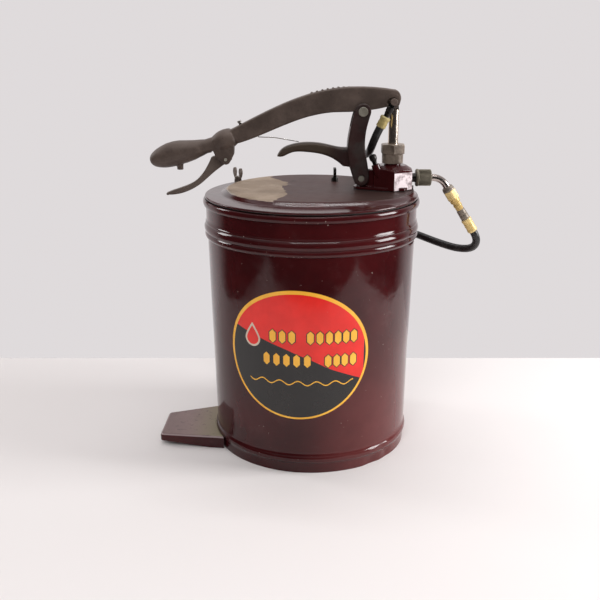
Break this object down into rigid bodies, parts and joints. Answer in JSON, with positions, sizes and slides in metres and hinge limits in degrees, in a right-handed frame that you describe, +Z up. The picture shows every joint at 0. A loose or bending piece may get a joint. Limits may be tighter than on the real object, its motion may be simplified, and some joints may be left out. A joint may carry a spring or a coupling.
{
  "type": "hand lever bucket pump",
  "caption": "Round steel pail with a lift-off cover, a hand-lever transfer pump, a delivery hose parked on the pump rod and a stamped footrest.",
  "frame": {"origin": "on the floor at the pail's axis, the centre of the circle that it stands on", "axes": "+Z up along the pail's axis, +X towards the pump, -X towards the lever's grip and the footrest, -Y towards the front"},
  "size_m": [0.528, 0.3711, 0.5755],
  "materials": {
    "bare_steel": "plain steel",
    "brass": "tarnished brass",
    "bronze": "dull bronze",
    "cover_paint": "dusty worn dark red enamel",
    "dark_steel": "blackened steel",
    "grey_metal": "dull grey plating",
    "hose_rubber": "black rubber",
    "link_iron": "worn dark red over iron",
    "maroon_paint": "aged dark red enamel",
    "packing_cord": "greased packing",
    "seal_rubber": "oily cork and rubber",
    "worn_iron": "worn dark iron"
  },
  "bodies": {
    "can": {"can_body": "maroon_paint", "can_bottom": "maroon_paint", "footrest": "maroon_paint", "footrest_rivets": "bare_steel", "stud_bracket": "maroon_paint", "cover_stud": "bare_steel"},
    "cover": {"cover": "cover_paint", "cover_gasket": "seal_rubber", "stud_washer": "bare_steel", "vent_collar": "bare_steel", "pump_head": "maroon_paint", "head_gasket": "seal_rubber", "head_backing_plate": "bare_steel", "head_screws": "bare_steel", "bleed_plug": "dark_steel", "pump_barrel": "bare_steel", "foot_valve": "bronze", "foot_valve_ball": "bare_steel", "foot_valve_pin": "bare_steel", "strainer": "bare_steel", "packing_rings": "packing_cord", "packing_gland": "brass", "packing_nut": "bronze", "check_valve_ball": "bare_steel", "check_valve_spring": "bare_steel", "outlet_nipple": "dark_steel", "outlet_nut": "dark_steel", "outlet_elbow": "bronze", "elbow_collar": "dark_steel", "hose_coupling": "brass", "hose_sleeve": "grey_metal", "outlet_ferrule": "brass", "hose": "hose_rubber", "link_pin": "bare_steel"},
    "wing_nut": {"wing_nut": "dark_steel"},
    "vent_screw": {"vent_screw": "brass"},
    "link": {"link": "link_iron", "fulcrum_pin": "bare_steel", "fulcrum_clip": "bare_steel"},
    "lever": {"lever": "worn_iron", "grip": "worn_iron", "grip_screw": "bare_steel", "trigger_pin": "bare_steel", "lever_wire": "bare_steel"},
    "plunger": {"plunger_rod": "bare_steel", "piston": "bronze", "piston_cups": "seal_rubber", "piston_valve": "bronze", "piston_nut": "bare_steel", "rod_pin": "bare_steel", "nozzle_coupler": "brass", "coupler_jaws": "bare_steel", "nozzle_ferrule": "brass"},
    "trigger": {"trigger": "worn_iron"}
  },
  "joints": [
    {"name": "cover_lift", "type": "slide", "parent": "can", "child": "cover", "axis": [0, 0, 1], "range_m": [0, 0.4]},
    {"name": "wing_nut_turn", "type": "hinge", "parent": "cover", "child": "wing_nut", "pos_m": [-0.12343, 0.10102, 0.412], "axis": [0, 0, 1], "continuous": true},
    {"name": "vent_turn", "type": "hinge", "parent": "cover", "child": "vent_screw", "pos_m": [0.04, 0.073, 0.418], "axis": [0, 0, 1], "continuous": true},
    {"name": "link_rock", "type": "hinge", "parent": "cover", "child": "link", "pos_m": [0.078, 0, 0.436], "axis": [0, 1, 0], "range_deg": [0, 0.5]},
    {"name": "lever_pump", "type": "hinge", "parent": "link", "child": "lever", "pos_m": [0.079, 0, 0.5385], "axis": [0, 1, 0], "range_deg": [0, 40]},
    {"name": "plunger_slide", "type": "slide", "parent": "cover", "child": "plunger", "axis": [0, 0, -1], "range_m": [0, 0.0335], "deforming": ["hose"]},
    {"name": "trigger_squeeze", "type": "hinge", "parent": "lever", "child": "trigger", "pos_m": [-0.134, 0, 0.465], "axis": [0, 1, 0], "range_deg": [0, 15], "stiffness_Nm_per_rad": 0.4, "springref_deg": -8.59}
  ],
  "couplings": [
    {"joint": "link_rock", "follows": "lever_pump", "ratio": 0.01},
    {"joint": "plunger_slide", "follows": "lever_pump", "m_per_rad": 0.0473}
  ]
}
